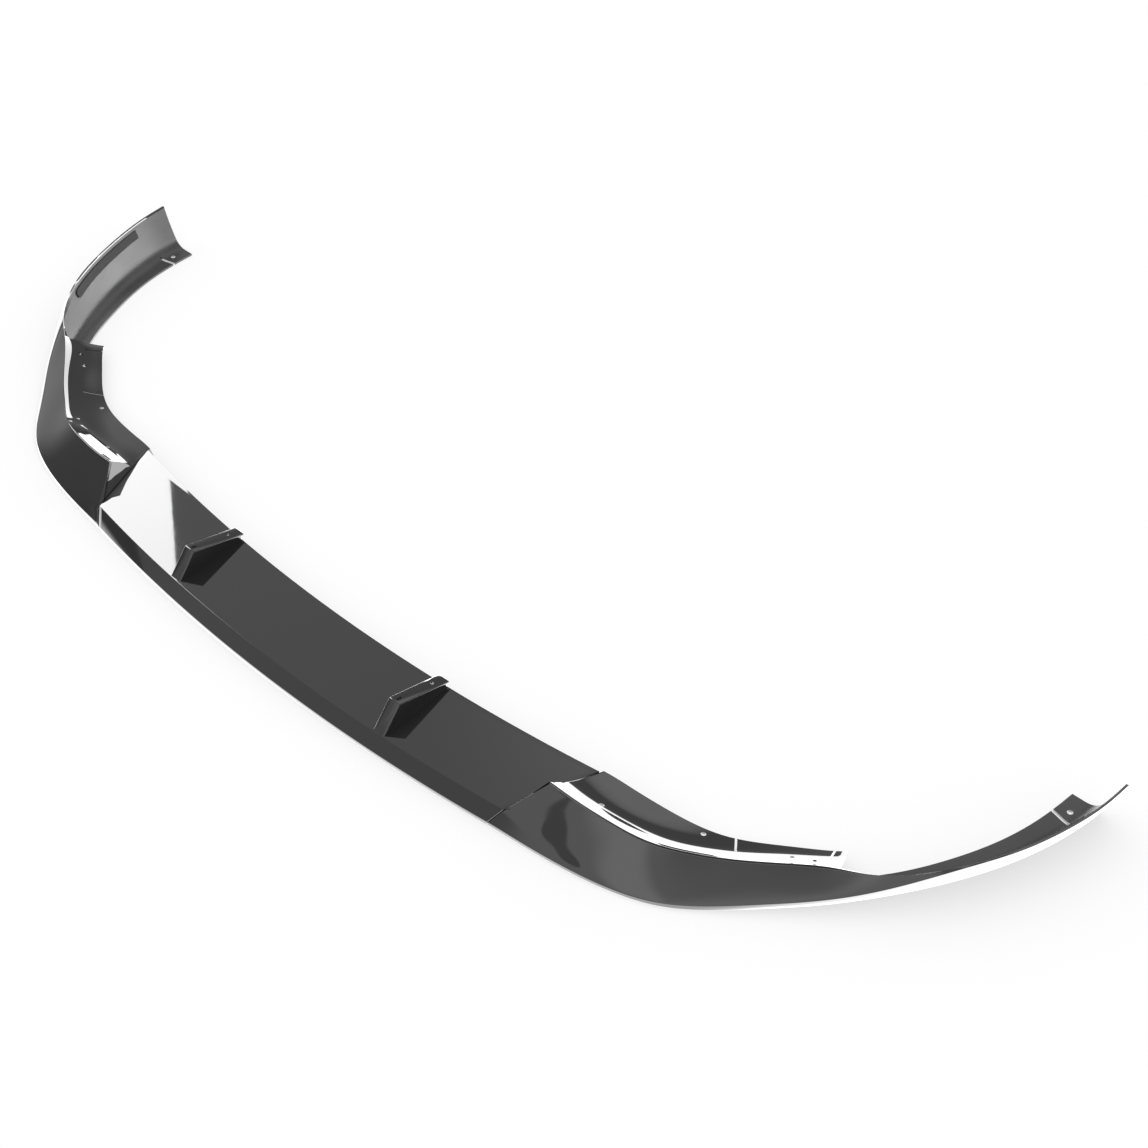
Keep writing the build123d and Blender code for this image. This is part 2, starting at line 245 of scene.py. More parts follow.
def rounded(points, corners, shares):
    """Lines with rounded corners, each with its setback before and after it and its number of
    points. Returns the lines and the column where each corner starts."""
    parts = [points[:, :1]]
    starts = [0]
    last = points[:, 0]
    total = 1

    def run(start, end):
        return np.stack([start + share * (end - start) for share in shares], axis=1)

    for i, (before, after, count) in enumerate(corners, start=1):
        start = toward(points[:, i], points[:, i - 1], before)
        end = toward(points[:, i], points[:, i + 1], after)
        t = np.linspace(0, 1, count)[None, :, None]
        tip = points[:, i][:, None]
        arc = (1 - t)**2 * start[:, None] + 2 * t * (1 - t) * tip + t**2 * end[:, None]
        parts += [run(last, start), arc]
        starts.append(total + len(shares))
        total += len(shares) + count
        last = end
    parts += [run(last, points[:, -1]), points[:, -1:]]
    starts.append(total + len(shares))
    return np.concatenate(parts, axis=1), starts


def least(limit, length, share):
    """The limit, but no more than a share of each length."""
    return np.minimum(limit, share * length)


# Corner lines, which run from the flange's edge over the foot, bow, edge, skin, rim, crest, land and
# scoop to the ledge's edge
FOOT_CORNER, BOW_CORNER, RIM_CORNER, LAND_CORNER = 1, 2, 5, 7
WALL_CORNERS = LAND_CORNER - FOOT_CORNER
CORNER_POINTS = (4, 5, 6, 15, 5, 7, 7, 17)
FILLET_POINTS = 16
LEAST_POINTS = 3
INNER_DETAIL = 0.5
OUTER_SHARES = (0.06, 0.35, 0.65, 0.94)
INNER_SHARES = (0.1, 0.35, 0.65, 0.9)
WALL_SHARES = (0.5, 0.8, 0.88, 0.93, 0.96, 0.985)
BOW_FROM, BOW_OVER = 5, 4
LEAST_ROUNDING, MOST_ROUNDING = 0.12, 0.95

hood_out = np.array([s.out for s in HOOD])
hood_back = np.array([s.back for s in HOOD])
tail_along = np.array([s.along for s in TAIL])
tail_spread = CORNER_WIDTH + TAIL[-1].edge[0] - HOOD[-1].out
tail_length = CORNER_LENGTH - HOOD[-1].back
tail_out = HOOD[-1].out + tail_spread * (1 - (1 - tail_along)**TAIL_BOW)
tail_back = HOOD[-1].back + tail_along * tail_length
foot_out = np.concatenate([hood_out, tail_out])
foot_back = np.concatenate([hood_back, tail_back])
FOOT = np.stack([foot_out, foot_back], axis=1)
KNOTS = np.concatenate([[0.0], np.cumsum(np.linalg.norm(np.diff(FOOT, axis=0), axis=1))])
HEADING = np.array([s.heading for s in HOOD + TAIL])
FLANGE = np.array([FLANGE_WIDTH] * len(HOOD) + [s.flange for s in TAIL])
ROUNDING = np.array([s.rounding for s in HOOD] + [HOOD[-1].rounding] * len(TAIL))
LEDGE_END = KNOTS[len(HOOD) - 1]
FOLD_DONE = KNOTS[len(HOOD) + [s.along for s in TAIL].index(FOLD_END)]


def hood_controls(station, index):
    """Bow, edge, skin, rim, crest, land, scoop and ledge edge of a hood station."""
    edge, crest, ledge = station.edge, station.crest, station.ledge
    rim = (crest[0] - RIM_SETBACK, crest[1] - RIM_STEP)
    bow = WALL_BOW * smooth_step((index - BOW_FROM) / BOW_OVER)
    middle = between((0.0, 0.0), edge, 1 / 2)
    if index < SEAM_STATIONS:
        slant = math.radians(station.heading) - math.asin(SEAM_X / FRONT_RADIUS)
        skin = (CREASE_INSET / math.sin(slant), CREASE_HEIGHT)
    else:
        skin = between(edge, rim, SKIN_BULGE_PLACE)
        skin = (skin[0], skin[1] + SKIN_BULGE)
    land = (crest[0] + CREST_LAND, crest[1] + station.rise)
    scoop = between(land, ledge, LEDGE_SAG_PLACE)
    scoop = (scoop[0], scoop[1] - station.sag)
    return [(middle[0] - bow, middle[1]), edge, skin, rim, crest, land, scoop, ledge]


def tail_controls(station):
    """Bow, edge, skin, rim, crest and land of a tail station."""
    edge, crest, fold = station.edge, station.crest, station.fold
    middle = between((0.0, 0.0), edge, 1 / 2)
    skin = between(edge, crest, TAIL_SKIN_PLACE)
    skin = (skin[0], skin[1] + fold * SKIN_BULGE)
    rim = between(edge, crest, TAIL_RIM_PLACE)
    top = between(edge, crest, TAIL_TOP_PLACE)
    if fold:
        rim = (crest[0] - RIM_SETBACK * fold, crest[1] - RIM_STEP * fold)
        top = crest
        crest = (crest[0] + fold * CREST_LAND, crest[1] + fold * TAIL_LAND_RISE)
    return [(middle[0] - WALL_BOW, middle[1]), edge, skin, rim, top, crest]


HOOD_CONTROLS = np.array([hood_controls(s, i) for i, s in enumerate(HOOD)])
TAIL_CONTROLS = np.array([tail_controls(s) for s in TAIL])
WALL_CONTROLS = np.concatenate([HOOD_CONTROLS[:, :WALL_CORNERS], TAIL_CONTROLS])
LEDGE_CONTROLS = HOOD_CONTROLS[:, WALL_CORNERS:]


def corner_lines(u):
    """Outer and inner lines of the corner's sections at distances along its foot."""
    u = np.asarray(u, float)
    count = len(u)
    foot = spline(KNOTS, FOOT, u)
    turn = np.radians(spline(KNOTS, HEADING[:, None], u)[:, 0])
    flange = spline(KNOTS, FLANGE[:, None], u)[:, 0]
    rounding = spline(KNOTS, ROUNDING[:, None], u)[:, 0]
    rounding = np.clip(rounding, LEAST_ROUNDING, MOST_ROUNDING)
    wall = spline(KNOTS, WALL_CONTROLS, u)
    hood_u = np.minimum(u, LEDGE_END)
    ledge = spline(KNOTS[:len(HOOD)], LEDGE_CONTROLS, hood_u)
    zero = np.zeros((count, 1, 2))
    flange_end = np.stack([flange, np.zeros(count)], axis=1)[:, None]
    line = np.concatenate([flange_end, zero, wall, ledge], axis=1)
    thin = smooth_step((u - LEDGE_END) / (FOLD_DONE - LEDGE_END))

    outer, outer_starts = rounded(line, corner_rounding(line, rounding, thin), OUTER_SHARES)

    # The inner line keeps the wall's thickness below a plain rim, and at the tail it is the wall's
    # plain inner face with a hollow curve at its foot
    below = line[:, FOOT_CORNER:].copy()
    below[:, RIM_CORNER - FOOT_CORNER, 0] += 2 * RIM_SETBACK * (1 - thin)
    inner = inset(below, WALL)
    top = line[:, LAND_CORNER]
    base = np.tile(np.array([TAIL_WALL, WALL]), (count, 1))
    plain = []
    for share in WALL_SHARES:
        point = base + share * (top - base)
        point[:, 0] -= 4 * WALL_BOW * share * (1 - share)
        plain.append(point)
    plain = np.stack(plain, axis=1)
    inner[:, 0] = base
    shell = inner[:, 1:WALL_CORNERS + 1]
    thinned = thin[:, None, None]
    inner[:, 1:WALL_CORNERS + 1] = (1 - thinned) * shell + thinned * plain
    flange_top = np.stack([flange, np.full(count, WALL)], axis=1)[:, None]
    inner = np.concatenate([flange_top, inner], axis=1)
    fillet = FOOT_FILLET * smooth_step(1 + (u - LEDGE_END) / FOOT_FILLET_RUN)
    inner_rounding = corner_rounding(inner, rounding, thin, INNER_DETAIL, FILLET_POINTS, fillet)
    inner, inner_starts = rounded(inner, inner_rounding, INNER_SHARES)

    # The flange's free edge curls up at the front of the tail
    curl = FLANGE_CURL * smooth_step(u / LEDGE_END)
    curl = curl * (1 - smooth_step((u - LEDGE_END) / FLANGE_CURL_LENGTH))
    for lines, starts in ((outer, outer_starts), (inner, inner_starts)):
        foot_part = lines[:, :starts[BOW_CORNER]]
        across = np.clip(foot_part[..., 0] / flange[:, None], 0.0, 1.0)
        foot_part[..., 1] += curl[:, None] * across**2

    placed = []
    for lines in (outer, inner):
        x = SEAM_X + foot[:, :1] + lines[..., 0] * np.cos(turn)[:, None]
        y = SEAM_Y + foot[:, 1:] + lines[..., 0] * np.sin(turn)[:, None]
        placed.append(np.stack([x, y, lines[..., 1]], axis=2))
    return placed[0], outer_starts, placed[1], inner_starts


def corner_rounding(line, rounding, thin, detail=1, foot_points=CORNER_POINTS[0], fillet=0.0):
    """Setbacks and points of the corners from the foot to the scoop. No setback takes more than a
    share of the run that it lies on."""
    run = lengths(line)
    lip_before, lip_after = (side + (TAIL_LIP_EDGE - side) * thin for side in LIP_EDGE)
    edge_after = least(lip_after, run[:, 3], 0.35)
    rim_before = least(RIM_EDGE[0], run[:, 4], 0.3)
    land_after = least(LAND_EDGE[1], run[:, 7], 0.25)
    foot_before = least(FOOT_EDGE[0] + fillet, run[:, 0], 0.5)
    foot_after = least(FOOT_EDGE[1] + fillet, run[:, 1], 0.45)
    counts = (foot_points, *CORNER_POINTS[1:])
    points = [max(LEAST_POINTS, round(detail * count)) for count in counts]
    setbacks = [
        (foot_before, foot_after),
        (0.45 * run[:, 1], 0.45 * run[:, 2]),
        (least(lip_before, run[:, 2], 0.4), edge_after),
        (rounding * (run[:, 3] - edge_after), rounding * (run[:, 4] - rim_before)),
        (rim_before, least(RIM_EDGE[1], run[:, 5], 0.35)),
        (least(CREST_EDGE[0], run[:, 5], 0.35), least(CREST_EDGE[1], run[:, 6], 0.3)),
        (least(LAND_EDGE[0], run[:, 6], 0.4), land_after),
        (0.6 * (run[:, 7] - land_after), 0.6 * run[:, 8]),
    ]
    return [(before, after, count) for (before, after), count in zip(setbacks, points)]


class Surface:
    """Points and faces of a mesh, with the finish of each face."""

    def __init__(self):
        self.points = []
        self.faces = []
        self.finish = []

    def rows(self, rows):
        index = []
        for row in rows:
            start = len(self.points)
            self.points.extend(row.tolist())
            index.append(np.arange(start, start + len(row)))
        return np.array(index)

    def point(self, place):
        self.points.append(list(place))
        return len(self.points) - 1

    def grid(self, index, finish):
        quads = np.stack([index[:-1, :-1], index[1:, :-1], index[1:, 1:], index[:-1, 1:]], axis=-1)
        quads = quads.reshape(-1, 4).tolist()
        self.faces += quads
        self.finish += [finish] * len(quads)

    def loop(self, index, finish):
        self.faces.append([int(i) for i in index])
        self.finish.append(finish)


def seam_axes():
    """Directions of the seam face: back, up, and its normal away from the centre."""
    turn, lean = math.radians(SEAM_ANGLE), math.radians(SEAM_LEAN)
    back = np.array([math.cos(turn), math.sin(turn), 0.0])
    normal = np.array([back[1] * math.cos(lean), -back[0] * math.cos(lean), -math.sin(lean)])
    return back, np.cross(normal, back), normal


def column_points(lines, at, places):
    """Point of each column of the lines at its own place."""
    result = np.empty((lines.shape[1], 3))
    for j in range(lines.shape[1]):
        for axis in range(3):
            result[j, axis] = np.interp(places[j], at, lines[:, j, axis])
    return result


def seam_end(outer, inner, at, side, depth, roll, turns, rows):
    """Rows of a shell between its seam face and the last of the given lines, the first of which lie
    past the seam. The outer skin rolls over into the seam face, as far as depth and roll say at
    each column."""
    back, up, normal = seam_axes()
    into = side * normal
    face = SEAM_LIP + into * SEAM_GAP / 2

    def reached(lines, distance):
        height = (lines - face) @ into
        return np.array([np.interp(distance[j], height[:, j], at) for j in range(lines.shape[1])])

    outer_rows = []
    for k in range(turns):
        angle = math.pi / 2 * (1 - k / turns)
        places = reached(outer, depth * (1 - math.sin(angle)))
        ring = column_points(outer, at, places)
        along = np.gradient(ring, axis=0)
        inward = np.cross(into, along)
        inward /= np.linalg.norm(inward, axis=1)[:, None]
        highest = int(np.argmax(ring[:, 2]))
        if inward[highest, 2] > 0:
            inward = -inward
        outer_rows.append(ring + inward * (roll * (1 - math.cos(angle)))[:, None])
    first = reached(outer, depth)
    inner_first = reached(inner, np.full(inner.shape[1], WALL))
    inner_rows = []
    for share in np.linspace(0, 1, rows):
        outer_rows.append(column_points(outer, at, first + share * (at[-1] - first)))
        inner_places = inner_first + share * (at[-1] - inner_first)
        inner_rows.append(column_points(inner, at, inner_places))

    def down(point, lift):
        """Point of the seam face, or of its back, on the floor below the given point."""
        base = face + into * lift
        flat = (point - base) @ back
        return base + back * flat + up * (-base[2] / up[2])

    return outer_rows, inner_rows, down(outer_rows[0][-1], 0.0), down(inner_rows[0][-1], WALL)


def close_seam(surface, outer, inner, turns, front_down, back_down):
    """Seam face of a shell, its back and the narrow faces between them."""
    front = surface.point(front_down)
    rear = surface.point(back_down)
    surface.loop([*outer[0], front], OUTSIDE)
    surface.loop([*inner[0], rear, outer[turns][0]], INSIDE)
    surface.loop([*outer[:turns + 1, -1], inner[0][-1], rear, front], INSIDE)
    surface.loop([*outer[:turns + 1, 0], rear, front], INSIDE)


def column_values(starts, total, values):
    """Values given at the corners of the lines, spread over all their columns."""
    return np.interp(np.arange(total), starts, values)


# Distances between points that count as one, in metres
WELD = 1e-5
SAME_POINT = 2e-6
NO_LENGTH = 1e-6


def linked_object(name, bm):
    mesh = bpy.data.meshes.new(name)
    bm.to_mesh(mesh)
    bm.free()
    made = bpy.data.objects.new(name, mesh)
    bpy.context.scene.collection.objects.link(made)
    return made


def mesh_object(name, surface, mirrored=False, weld=False):
    """Mesh of a surface. With weld the surface is one half, which is joined to its mirror image."""
    points = np.array(surface.points) / METRE
    bm = bmesh.new()
    verts = [bm.verts.new(p) for p in points]
    bm.verts.ensure_lookup_table()
    for face, finish in zip(surface.faces, surface.finish):
        made = bm.faces.new([verts[i] for i in face])
        made.material_index = finish
    if weld:
        half = bm.verts[:] + bm.edges[:] + bm.faces[:]
        bmesh.ops.mirror(bm, geom=half, axis="X", merge_dist=WELD)
    if mirrored:
        for vert in bm.verts:
            vert.co.x = -vert.co.x
    bmesh.ops.remove_doubles(bm, verts=bm.verts[:], dist=SAME_POINT)
    bmesh.ops.dissolve_degenerate(bm, edges=bm.edges[:], dist=NO_LENGTH)
    bmesh.ops.recalc_face_normals(bm, faces=bm.faces[:])
    return linked_object(name, bm)


def prism(name, outline, place):
    """Solid between two copies of an outline, whose points place puts on either side."""
    bm = bmesh.new()
    ends = []
    for side in (0, 1):
        ends.append([bm.verts.new(np.array(place(point, side)) / METRE) for point in outline])
    bm.faces.new(ends[0])
    bm.faces.new(list(reversed(ends[1])))
    for i in range(len(outline)):
        j = (i + 1) % len(outline)
        bm.faces.new([ends[0][i], ends[0][j], ends[1][j], ends[1][i]])
    bmesh.ops.recalc_face_normals(bm, faces=bm.faces[:])
    return linked_object(name, bm)


def bevel(piece, width, segments):
    modifier = piece.modifiers.new("edge", "BEVEL")
    modifier.width = width / METRE
    modifier.segments = segments
    modifier.limit_method = "ANGLE"
    apply_modifiers(piece)


def apply_modifiers(piece):
    graph = bpy.context.evaluated_depsgraph_get()
    mesh = bpy.data.meshes.new_from_object(piece.evaluated_get(graph))
    old = piece.data
    piece.modifiers.clear()
    piece.data = mesh
    mesh.name = piece.name
    bpy.data.meshes.remove(old)


def combine(piece, others, operation):
    """Piece joined with or cut by other solids, which are used up."""
    for other in others:
        modifier = piece.modifiers.new("combine", "BOOLEAN")
        modifier.operation = operation
        modifier.solver = "EXACT"
        modifier.object = other
    bpy.context.view_layer.update()
    apply_modifiers(piece)
    for other in others:
        mesh = other.data
        bpy.data.objects.remove(other)
        bpy.data.meshes.remove(mesh)


def give(piece, *materials):
    for index, material in enumerate(materials):
        if index < len(piece.data.materials):
            piece.data.materials[index] = material
        else:
            piece.data.materials.append(material)


def smooth(piece, angle):
    mesh = piece.data
    mesh.polygons.foreach_set("use_smooth", [True] * len(mesh.polygons))
    mesh.set_sharp_from_angle(angle=math.radians(angle))


# Materials
def new_material(name):
    material = bpy.data.materials.new(name)
    material.use_nodes = True
    tree = material.node_tree
    return material, tree.nodes, tree.links, tree.nodes["Principled BSDF"]


def add(nodes, kind, **inputs):
    node = nodes.new(kind)
    for key, value in inputs.items():
        node.inputs[key.replace("_", " ")].default_value = value
    return node


def noise(nodes, links, place, scale, detail, roughness):
    node = add(nodes, "ShaderNodeTexNoise", Scale=scale, Detail=detail, Roughness=roughness)
    links.new(place, node.inputs["Vector"])
    return node.outputs["Fac"]


def ramp(nodes, links, source, *stops):
    """Colour that runs through the stops, each a place and a colour, as the source grows."""
    node = nodes.new("ShaderNodeValToRGB")
    for element, (place, colour) in zip(node.color_ramp.elements, stops):
        element.position = place
        element.color = (*colour, 1.0)
    links.new(source, node.inputs["Fac"])
    return node.outputs["Color"]


def spread(nodes, links, source, low, high):
    """Number between low and high that follows a source between 0.3 and 0.7."""
    node = add(nodes, "ShaderNodeMapRange", From_Min=0.3, From_Max=0.7, To_Min=low, To_Max=high)
    links.new(source, node.inputs["Value"])
    return node.outputs["Result"]


def bump(nodes, links, shader, source, distance, strength):
    node = add(nodes, "ShaderNodeBump", Distance=distance, Strength=strength)
    links.new(source, node.inputs["Height"])
    links.new(node.outputs["Normal"], shader.inputs["Normal"])


def gloss_black():
    """High-gloss black plastic with a faint ripple, polishing haze and fine dust."""
    material, nodes, links, shader = new_material("gloss_black")
    place = nodes.new("ShaderNodeTexCoord").outputs["Object"]
    haze = noise(nodes, links, place, scale=9.0, detail=5.0, roughness=0.6)
    ripple = noise(nodes, links, place, scale=38.0, detail=2.0, roughness=0.4)
    dust = noise(nodes, links, place, scale=900.0, detail=3.0, roughness=0.7)
    clean, dusty = (0.70, (0.008, 0.008, 0.009)), (0.78, (0.04, 0.04, 0.04))
    links.new(ramp(nodes, links, dust, clean, dusty), shader.inputs["Base Color"])
    links.new(spread(nodes, links, haze, 0.02, 0.05), shader.inputs["Roughness"])
    bump(nodes, links, shader, ripple, distance=0.0006, strength=0.03)
    shader.inputs["IOR"].default_value = 1.6
    shader.inputs["Coat Weight"].default_value = 1.0
    shader.inputs["Coat Roughness"].default_value = 0.02
    return material


def satin_black():
    """Unpolished inner side of the same plastic, with mould grain."""
    material, nodes, links, shader = new_material("satin_black")
    place = nodes.new("ShaderNodeTexCoord").outputs["Object"]
    grain = noise(nodes, links, place, scale=1400.0, detail=2.0, roughness=0.5)
    patch = noise(nodes, links, place, scale=14.0, detail=4.0, roughness=0.6)
    dark, pale = (0.3, (0.043, 0.043, 0.044)), (0.75, (0.065, 0.065, 0.066))
    links.new(ramp(nodes, links, patch, dark, pale), shader.inputs["Base Color"])
    links.new(spread(nodes, links, patch, 0.28, 0.38), shader.inputs["Roughness"])
    bump(nodes, links, shader, grain, distance=0.0003, strength=0.15)
    return material


def grip_rubber():
    """Dull rubber with a fine grain."""
    material, nodes, links, shader = new_material("grip_rubber")
    place = nodes.new("ShaderNodeTexCoord").outputs["Object"]
    grain = noise(nodes, links, place, scale=1100.0, detail=3.0, roughness=0.6)
    dark, pale = (0.3, (0.024, 0.024, 0.024)), (0.75, (0.046, 0.046, 0.046))
    links.new(ramp(nodes, links, grain, dark, pale), shader.inputs["Base Color"])
    links.new(spread(nodes, links, grain, 0.65, 0.85), shader.inputs["Roughness"])
    bump(nodes, links, shader, grain, distance=0.0002, strength=0.4)
    return material


def zinc_steel():
    """Zinc-plated steel with brushed streaks and dull patches."""
    material, nodes, links, shader = new_material("zinc_steel")
    place = nodes.new("ShaderNodeTexCoord").outputs["Object"]
    stretch = add(nodes, "ShaderNodeMapping", Scale=(900.0, 900.0, 160.0))
    links.new(place, stretch.inputs["Vector"])
    streak = noise(nodes, links, stretch.outputs["Vector"], scale=1.0, detail=3.0, roughness=0.6)
    patch = noise(nodes, links, place, scale=220.0, detail=4.0, roughness=0.65)
    dull, bright = (0.3, (0.42, 0.42, 0.41)), (0.7, (0.6, 0.6, 0.61))
    links.new(ramp(nodes, links, patch, dull, bright), shader.inputs["Base Color"])
    links.new(spread(nodes, links, streak, 0.28, 0.45), shader.inputs["Roughness"])
    bump(nodes, links, shader, streak, distance=0.0001, strength=0.3)
    shader.inputs["Metallic"].default_value = 1.0
    return material


GLOSS = gloss_black()
SATIN = satin_black()
RUBBER = grip_rubber()
STEEL = zinc_steel()


# Corner mouldings
SEAM_ROWS_TO = 110.0
SEAM_LINES = 140
ROLL_TURNS = 6
SEAM_ROWS = 34
ROW_STEP = 4.0
LEDGE_END_ROWS = 3
LEDGE_END_SLANT = 0.55
CUT_TOP = 90.0
HOLE_SIDES = 40
BOLT_SIDES = 24
SMOOTH_ANGLE = 38.0

# Depth and width of the seam's roll at the flange, foot, bow, edge, skin, rim, crest, land, scoop
# and ledge edge
SEAM_ROLL_DEPTH = (WALL, WALL, 0.8, 0.8, 0.9, 1.4, 1.4, 1.4, 1.4, WALL)
SEAM_ROLL_WIDTH = (0.2, 0.4, 0.4, 0.4, 0.5, 0.9, 0.9, 0.9, 0.9, 0.3)


def cylinder(name, centre, radius, low, high, sides=HOLE_SIDES):
    turns = [2 * math.pi * i / sides for i in range(sides)]
    ring = [(radius * math.cos(turn), radius * math.sin(turn)) for turn in turns]

    def place(point, side):
        return (centre[0] + point[0], centre[1] + point[1], (low, high)[side])

    return prism(name, ring, place)


def slot(name, centre, heading, length, width, low, high):
    turn = math.radians(heading)
    ahead, beside = length / 2, width / 2
    corners = [(-ahead, -beside), (ahead, -beside), (ahead, beside), (-ahead, beside)]

    def place(point, side):
        x = centre[0] + point[0] * math.cos(turn) - point[1] * math.sin(turn)
        y = centre[1] + point[0] * math.sin(turn) + point[1] * math.cos(turn)
        return (x, y, (low, high)[side])

    return prism(name, corners, place)


def bolt_cutters():
    """Solids of the bolts' holes through both sides of the left seam."""
    back, up, normal = seam_axes()
    rise = (BOLT_HEIGHT - LIP_HEIGHT) / math.cos(math.radians(SEAM_LEAN))
    radius = BOLT_RADIUS + BOLT_CLEARANCE
    reach = 2 * WALL
    turns = [2 * math.pi * i / BOLT_SIDES for i in range(BOLT_SIDES)]

    def cutter(distance):
        centre = SEAM_LIP + back * distance + up * rise

        def place(turn, side):
            ring = centre + radius * (math.cos(turn) * back + math.sin(turn) * up)
            return ring + normal * (side - 0.5) * 2 * reach

        return prism("bolt_cut", turns, place)

    return [cutter(distance) for distance in BOLT_FROM_FRONT]


def mirror_solid(solid):
    solid.data.transform(Matrix.Diagonal((-1, 1, 1, 1)))
    solid.data.flip_normals()


def slant_ledge_end(lines, fold, rows):
    """Lines behind the ledge's last section, drawn back so that it is longest at its crest."""
    at = np.concatenate([[LEDGE_END], rows])
    share = np.linspace(0.0, 1.0, lines.shape[1] - fold)
    for k in range(len(rows), 0, -1):
        places = LEDGE_END + (rows[k - 1] - LEDGE_END) * (1 - LEDGE_END_SLANT * share)
        lines[k, fold:] = column_points(lines[:, fold:], at, places)


def corner(name, mirrored):
    """Moulding of the left corner, or its mirror image for the right one."""
    dense = np.linspace(0.0, SEAM_ROWS_TO, SEAM_LINES)
    outer, outer_starts, inner, inner_starts = corner_lines(dense)
    total = outer.shape[1]
    depth = column_values(outer_starts, total, SEAM_ROLL_DEPTH)
    roll = column_values(outer_starts, total, SEAM_ROLL_WIDTH)
    outer_rows, inner_rows, front_down, back_down = seam_end(
        outer, inner, dense, 1.0, depth, roll, ROLL_TURNS, SEAM_ROWS)
    hood_count = round((LEDGE_END - SEAM_ROWS_TO) / ROW_STEP)
    tail_count = round((KNOTS[-1] - LEDGE_END) / ROW_STEP)
    hood_rows = np.linspace(SEAM_ROWS_TO, LEDGE_END, hood_count)[1:]
    tail_rows = np.linspace(LEDGE_END, KNOTS[-1], tail_count)[1:]
    more_outer, _, more_inner, _ = corner_lines(np.concatenate([hood_rows, tail_rows]))
    fold, inner_fold = outer_starts[LAND_CORNER], inner_starts[LAND_CORNER]
    last = len(hood_rows) - 1
    for lines, start in ((more_outer, fold), (more_inner, inner_fold)):
        end_lines = lines[last:last + LEDGE_END_ROWS + 1]
        slant_ledge_end(end_lines, start, tail_rows[:LEDGE_END_ROWS])
    outer_rows += list(more_outer)
    inner_rows += list(more_inner)

    surface = Surface()
    outer = surface.rows(outer_rows)
    inner = surface.rows(inner_rows)
    end = SEAM_ROWS - 1 + len(hood_rows) + LEDGE_END_ROWS
    outer_end = end + ROLL_TURNS
    surface.grid(outer[:, :fold + 1], OUTSIDE)
    surface.grid(outer[:outer_end + 1, fold:], OUTSIDE)
    surface.grid(inner[:, :inner_fold + 1], INSIDE)
    surface.grid(inner[:end + 1, inner_fold:], INSIDE)
    body = outer[ROLL_TURNS:]
    surface.grid(np.stack([body[:, 0], inner[:, 0]], axis=1), INSIDE)
    surface.grid(np.stack([body[:end + 1, -1], inner[:end + 1, -1]], axis=1), OUTSIDE)
    surface.grid(np.stack([body[end:, fold], inner[end:, inner_fold]], axis=1), OUTSIDE)
    surface.loop([*body[-1, :fold + 1], *inner[-1, inner_fold::-1]], OUTSIDE)
    surface.loop([*body[end, fold:], *inner[end, :inner_fold - 1:-1]], OUTSIDE)
    close_seam(surface, outer, inner, ROLL_TURNS, front_down, back_down)
    made = mesh_object(name, surface)

    over_flange = 2 * WALL
    above = (over_flange, CUT_TOP)
    through_flange = (-over_flange, over_flange)
    cutters = []
    for i, (x, y) in enumerate(LEDGE_HOLES):
        centre = (SEAM_X + x, SEAM_Y + y)
        cutters.append(cylinder(f"hole_{i}", centre, LEDGE_HOLE_RADIUS, *above))
    slit_size = (2 * LEDGE_SLIT_LENGTH, SLIT_WIDTH)
    for i, (x, y, heading) in enumerate(LEDGE_SLITS):
        centre = (SEAM_X + x, SEAM_Y + y)
        cutters.append(slot(f"slit_{i}", centre, heading, *slit_size, *above))
    foot_x = HALF_WIDTH + TAIL[-1].edge[0]
    slit_size = (2 * TAB_SLIT_LENGTH, TAB_SLIT_WIDTH)
    tab_slit = (foot_x - TAIL[-1].flange, REAR_Y - TAB_LENGTH)
    tab_hole = (foot_x - TAB_HOLE_FROM_FOOT, REAR_Y - TAB_HOLE_FROM_REAR)
    cutters.append(slot("tab_slit", tab_slit, TAB_SLIT_HEADING, *slit_size, *through_flange))
    cutters.append(cylinder("tab_hole", tab_hole, TAB_HOLE_RADIUS, *through_flange))
    cutters += bolt_cutters()
    give(made, GLOSS, SATIN)
    combine(made, cutters, "DIFFERENCE")
    if mirrored:
        mirror_solid(made)
    smooth(made, SMOOTH_ANGLE)
    return made


# Centre blade with its two fins
BLADE_POINTS = (4, 6, 7, 13)
BLADE_SHARES = (0.003, 0.12, 0.3, 0.5, 0.7, 0.88, 0.997)
BLADE_INNER_SHARES = (0.1, 0.9)
BLADE_END_SHARE = 0.62
BLADE_LINES = 160
BLADE_TURNS = 3
BLADE_SEAM_ROWS = 24
BLADE_ROWS = 40
FIN_SUNK = 1.5
FIN_REAR_SUNK = 0.5
FIN_EDGE_SEGMENTS = 3
FIN_SLOT_HEADING = 90.0
FIN_HOLE_SIDES = 32
FIN_HOLE_LOW = 36.0
FIN_SLOT_LOW = 46.0
FIN_CUT_TOP = 70.0

# Depth and width of the seam's roll at the flange, foot, lip, crease, lift and rear edge
BLADE_SEAM_DEPTH = (WALL, 0.8, 0.8, 0.8, 0.8, 0.8)
BLADE_SEAM_WIDTH = (0.2, 0.5, 0.6, 0.6, 0.6, 0.4)


